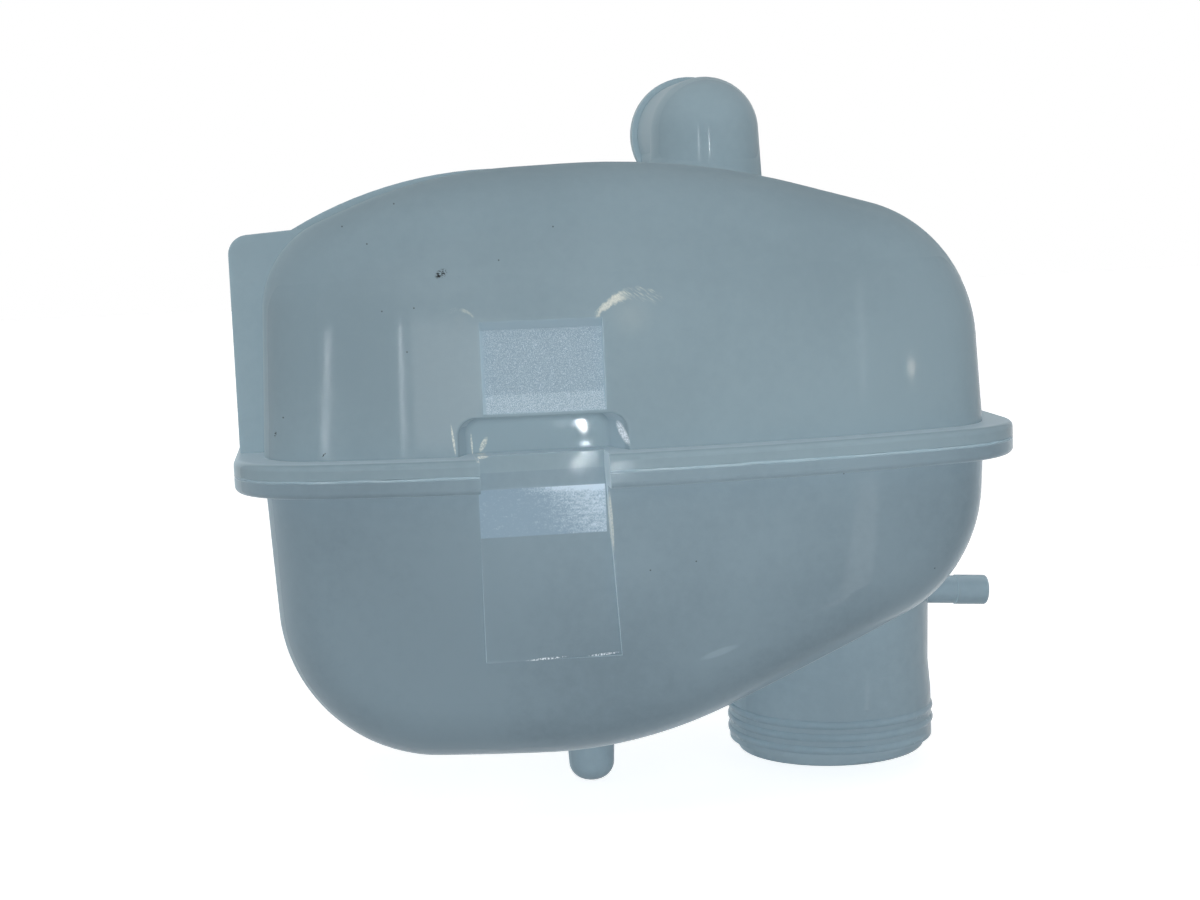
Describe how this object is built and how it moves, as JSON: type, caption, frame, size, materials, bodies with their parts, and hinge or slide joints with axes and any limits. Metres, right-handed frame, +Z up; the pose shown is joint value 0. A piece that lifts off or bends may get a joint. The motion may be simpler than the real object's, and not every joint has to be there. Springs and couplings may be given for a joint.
{
  "type": "coolant expansion tank",
  "caption": "Welded plastic expansion tank for a cooling system, with a threaded filler neck, an elbow outlet, a vent nipple, a mounting fin and a bracket channel on its front.",
  "frame": {"origin": "on the flat land of the bracket channel, at the channel's centre line and the weld plane", "axes": "+X right along the weld flange, +Y back into the tank, +Z up as pictured: in a vehicle the tank hangs the other way up, with its filler neck on top"},
  "size_m": [0.203, 0.129, 0.1905],
  "materials": {
    "tank_plastic": "milky, slightly translucent moulded plastic with a soft gloss"
  },
  "bodies": {
    "root": {"upper_shell": "tank_plastic", "lower_shell": "tank_plastic"}
  },
  "joints": []
}
